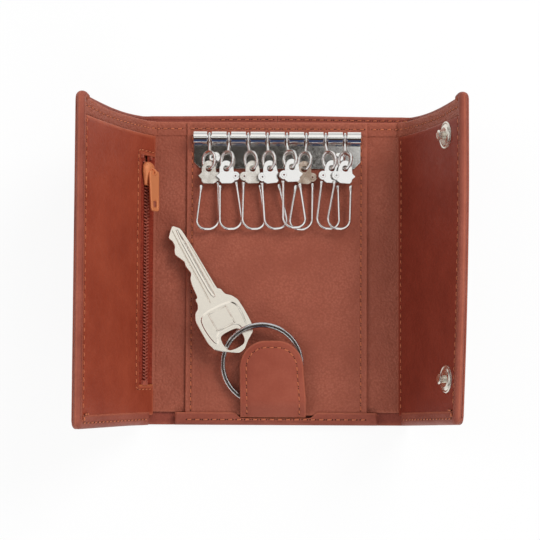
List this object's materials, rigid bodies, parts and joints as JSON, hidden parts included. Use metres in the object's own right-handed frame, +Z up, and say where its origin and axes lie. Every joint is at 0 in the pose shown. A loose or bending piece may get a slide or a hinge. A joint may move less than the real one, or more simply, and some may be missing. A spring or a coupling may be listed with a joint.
{
  "type": "folding key case",
  "caption": "Folding leather key case: a flat back with a bar of swivel hooks and a ring tab, and two folding wings with a zip pocket and snap studs.",
  "frame": {"origin": "middle of the face of the back that rests on the table", "axes": "+Z up from the table, X across the case from fold to fold, +Y along the folds towards the hook bar"},
  "size_m": [0.1489, 0.127, 0.0641],
  "materials": {
    "smooth_leather": "smooth satin leather, waxed edges",
    "grained_leather": "fine grained leather",
    "dark_leather": "smooth dark leather",
    "board": "grey board",
    "zip_tape": "woven tape",
    "zip_teeth": "nylon coil",
    "copper_metal": "satin copper lacquer",
    "nickel": "polished nickel",
    "key_metal": "worn nickel silver"
  },
  "bodies": {
    "back": {"shell_back": "smooth_leather", "back_lining": "grained_leather", "key_panel": "grained_leather", "panel_board": "board", "fold_left": "smooth_leather", "fold_right": "smooth_leather", "lining_fold_left": "grained_leather", "lining_fold_right": "grained_leather", "hook_plate": "nickel", "hook_rod": "nickel", "plate_rivets": "nickel", "rivet_washers": "nickel"},
    "left_wing": {"shell_left_wing": "smooth_leather", "left_wing_lining": "grained_leather", "left_pocket_panel": "smooth_leather", "zip_tapes": "zip_tape", "zip_teeth": "zip_teeth", "zip_stops": "copper_metal", "snap_sockets": "nickel", "snap_caps": "nickel"},
    "right_wing": {"shell_right_wing": "smooth_leather", "right_wing_lining": "grained_leather", "right_pocket_panel": "dark_leather", "snap_studs": "nickel", "snap_posts": "nickel"},
    "zip_slider": {"zip_slider": "copper_metal"},
    "zip_pull": {"zip_pull": "copper_metal"},
    "stem_1": {"hook_stem_1": "nickel"},
    "head_1": {"hook_head_1": "nickel"},
    "gate_1": {"hook_gate_1": "nickel"},
    "stem_2": {"hook_stem_2": "nickel"},
    "head_2": {"hook_head_2": "nickel"},
    "gate_2": {"hook_gate_2": "nickel"},
    "stem_3": {"hook_stem_3": "nickel"},
    "head_3": {"hook_head_3": "nickel"},
    "gate_3": {"hook_gate_3": "nickel"},
    "stem_4": {"hook_stem_4": "nickel"},
    "head_4": {"hook_head_4": "nickel"},
    "gate_4": {"hook_gate_4": "nickel"},
    "stem_5": {"hook_stem_5": "nickel"},
    "head_5": {"hook_head_5": "nickel"},
    "gate_5": {"hook_gate_5": "nickel"},
    "stem_6": {"hook_stem_6": "nickel"},
    "head_6": {"hook_head_6": "nickel"},
    "gate_6": {"hook_gate_6": "nickel"},
    "stem_7": {"hook_stem_7": "nickel"},
    "head_7": {"hook_head_7": "nickel"},
    "gate_7": {"hook_gate_7": "nickel"},
    "stem_8": {"hook_stem_8": "nickel"},
    "head_8": {"hook_head_8": "nickel"},
    "gate_8": {"hook_gate_8": "nickel"},
    "tab": {"tab_front": "smooth_leather", "tab_back": "smooth_leather", "ring_strap": "dark_leather"},
    "split_ring": {"split_ring": "nickel"},
    "key": {"key": "key_metal"}
  },
  "joints": [
    {"name": "left_wing_fold", "type": "hinge", "parent": "back", "child": "left_wing", "pos_m": [-0.0485, 0, 0.0082], "axis": [0, 1, 0], "range_deg": [-68.5, 111.5], "deforming": ["fold_left", "lining_fold_left"]},
    {"name": "right_wing_fold", "type": "hinge", "parent": "back", "child": "right_wing", "pos_m": [0.04741, 0, 0.00906], "axis": [0, -1, 0], "range_deg": [-73, 100], "deforming": ["fold_right", "lining_fold_right"]},
    {"name": "zip_slide", "type": "slide", "parent": "left_wing", "child": "zip_slider", "axis": [0, -1, 0], "range_m": [0, 0.07771], "deforming": ["zip_teeth", "zip_tapes"]},
    {"name": "pull_lift", "type": "hinge", "parent": "zip_slider", "child": "zip_pull", "pos_m": [-0.05089, 0.03881, 0.01113], "axis": [0.3665, 0, -0.9304], "range_deg": [-120, 0]},
    {"name": "hook_lift_1", "type": "hinge", "parent": "back", "child": "stem_1", "pos_m": [-0.02765, 0.0534, 0.0059], "axis": [1, 0, 0], "range_deg": [-105, 0]},
    {"name": "hook_swing_1", "type": "hinge", "parent": "stem_1", "child": "head_1", "pos_m": [-0.02793, 0.04061, 0.00641], "axis": [-0.1907, 0.0279, -0.9812], "range_deg": [-8, 8]},
    {"name": "gate_open_1", "type": "hinge", "parent": "head_1", "child": "gate_1", "pos_m": [-0.02441, 0.03752, 0.00564], "axis": [0.1907, -0.0279, 0.9812], "range_deg": [0, 15], "stiffness_Nm_per_rad": 0.002, "springref_deg": -5.73},
    {"name": "hook_lift_2", "type": "hinge", "parent": "back", "child": "stem_2", "pos_m": [-0.01975, 0.0534, 0.0059], "axis": [1, 0, 0], "range_deg": [-105, 0]},
    {"name": "hook_swing_2", "type": "hinge", "parent": "stem_2", "child": "head_2", "pos_m": [-0.02075, 0.04068, 0.0067], "axis": [-0.1907, 0.0279, -0.9812], "range_deg": [-8, 8]},
    {"name": "gate_open_2", "type": "hinge", "parent": "head_2", "child": "gate_2", "pos_m": [-0.01712, 0.03772, 0.00591], "axis": [0.1907, -0.0279, 0.9812], "range_deg": [0, 15], "stiffness_Nm_per_rad": 0.002, "springref_deg": -5.73},
    {"name": "hook_lift_3", "type": "hinge", "parent": "back", "child": "stem_3", "pos_m": [-0.01185, 0.0534, 0.0059], "axis": [1, 0, 0], "range_deg": [-105, 0]},
    {"name": "hook_swing_3", "type": "hinge", "parent": "stem_3", "child": "head_3", "pos_m": [-0.01006, 0.04077, 0.00641], "axis": [-0.1907, 0.0279, -0.9812], "range_deg": [-8, 8]},
    {"name": "gate_open_3", "type": "hinge", "parent": "head_3", "child": "gate_3", "pos_m": [-0.01347, 0.0375, 0.00698], "axis": [-0.1907, 0.0279, -0.9812], "range_deg": [0, 15], "stiffness_Nm_per_rad": 0.002, "springref_deg": -5.73},
    {"name": "hook_lift_4", "type": "hinge", "parent": "back", "child": "stem_4", "pos_m": [-0.00395, 0.0534, 0.0059], "axis": [1, 0, 0], "range_deg": [-105, 0]},
    {"name": "hook_swing_4", "type": "hinge", "parent": "stem_4", "child": "head_4", "pos_m": [-0.00296, 0.04072, 0.00728], "axis": [-0.1907, 0.0279, -0.9812], "range_deg": [-8, 8]},
    {"name": "gate_open_4", "type": "hinge", "parent": "head_4", "child": "gate_4", "pos_m": [-0.00609, 0.03718, 0.00778], "axis": [-0.1907, 0.0279, -0.9812], "range_deg": [0, 15], "stiffness_Nm_per_rad": 0.002, "springref_deg": -5.73},
    {"name": "hook_lift_5", "type": "hinge", "parent": "back", "child": "stem_5", "pos_m": [0.00395, 0.0534, 0.0059], "axis": [1, 0, 0], "range_deg": [-105, 0]},
    {"name": "hook_swing_5", "type": "hinge", "parent": "stem_5", "child": "head_5", "pos_m": [0.00596, 0.04119, 0.00899], "axis": [-0.1907, 0.0279, -0.9812], "range_deg": [-8, 8]},
    {"name": "gate_open_5", "type": "hinge", "parent": "head_5", "child": "gate_5", "pos_m": [0.00262, 0.03786, 0.00955], "axis": [-0.1907, 0.0279, -0.9812], "range_deg": [0, 15], "stiffness_Nm_per_rad": 0.002, "springref_deg": -5.73},
    {"name": "hook_lift_6", "type": "hinge", "parent": "back", "child": "stem_6", "pos_m": [0.01185, 0.0534, 0.0059], "axis": [1, 0, 0], "range_deg": [-105, 0]},
    {"name": "hook_swing_6", "type": "hinge", "parent": "stem_6", "child": "head_6", "pos_m": [0.01095, 0.04065, 0.00641], "axis": [-0.1907, 0.0279, -0.9812], "range_deg": [-8, 8]},
    {"name": "gate_open_6", "type": "hinge", "parent": "head_6", "child": "gate_6", "pos_m": [0.0143, 0.03737, 0.00567], "axis": [0.1907, -0.0279, 0.9812], "range_deg": [0, 15], "stiffness_Nm_per_rad": 0.002, "springref_deg": -5.73},
    {"name": "hook_lift_7", "type": "hinge", "parent": "back", "child": "stem_7", "pos_m": [0.01975, 0.0534, 0.0059], "axis": [1, 0, 0], "range_deg": [-105, 0]},
    {"name": "hook_swing_7", "type": "hinge", "parent": "stem_7", "child": "head_7", "pos_m": [0.02219, 0.04096, 0.00716], "axis": [-0.1907, 0.0279, -0.9812], "range_deg": [-8, 8]},
    {"name": "gate_open_7", "type": "hinge", "parent": "head_7", "child": "gate_7", "pos_m": [0.01855, 0.03797, 0.00779], "axis": [-0.1907, 0.0279, -0.9812], "range_deg": [0, 15], "stiffness_Nm_per_rad": 0.002, "springref_deg": -5.73},
    {"name": "hook_lift_8", "type": "hinge", "parent": "back", "child": "stem_8", "pos_m": [0.02765, 0.0534, 0.0059], "axis": [1, 0, 0], "range_deg": [-105, 0]},
    {"name": "hook_swing_8", "type": "hinge", "parent": "stem_8", "child": "head_8", "pos_m": [0.02765, 0.04075, 0.00786], "axis": [-0.1907, 0.0279, -0.9812], "range_deg": [-8, 8]},
    {"name": "gate_open_8", "type": "hinge", "parent": "head_8", "child": "gate_8", "pos_m": [0.02395, 0.03784, 0.0085], "axis": [-0.1907, 0.0279, -0.9812], "range_deg": [0, 15], "stiffness_Nm_per_rad": 0.002, "springref_deg": -5.73},
    {"name": "tab_lift", "type": "hinge", "parent": "back", "child": "tab", "pos_m": [-0.0012, -0.06022, 0.00465], "axis": [-1, 0, 0], "range_deg": [-105, 0]},
    {"name": "ring_turn", "type": "hinge", "parent": "tab", "child": "split_ring", "pos_m": [-0.00575, -0.0387, 0.00703], "axis": [-0.0242, -0.1371, 0.9903], "range_deg": [-3, 1.5]},
    {"name": "key_slide_round", "type": "hinge", "parent": "split_ring", "child": "key", "pos_m": [-0.00575, -0.0387, 0.00703], "axis": [-0.0242, -0.1371, 0.9903], "range_deg": [-3, 1.5]}
  ]
}
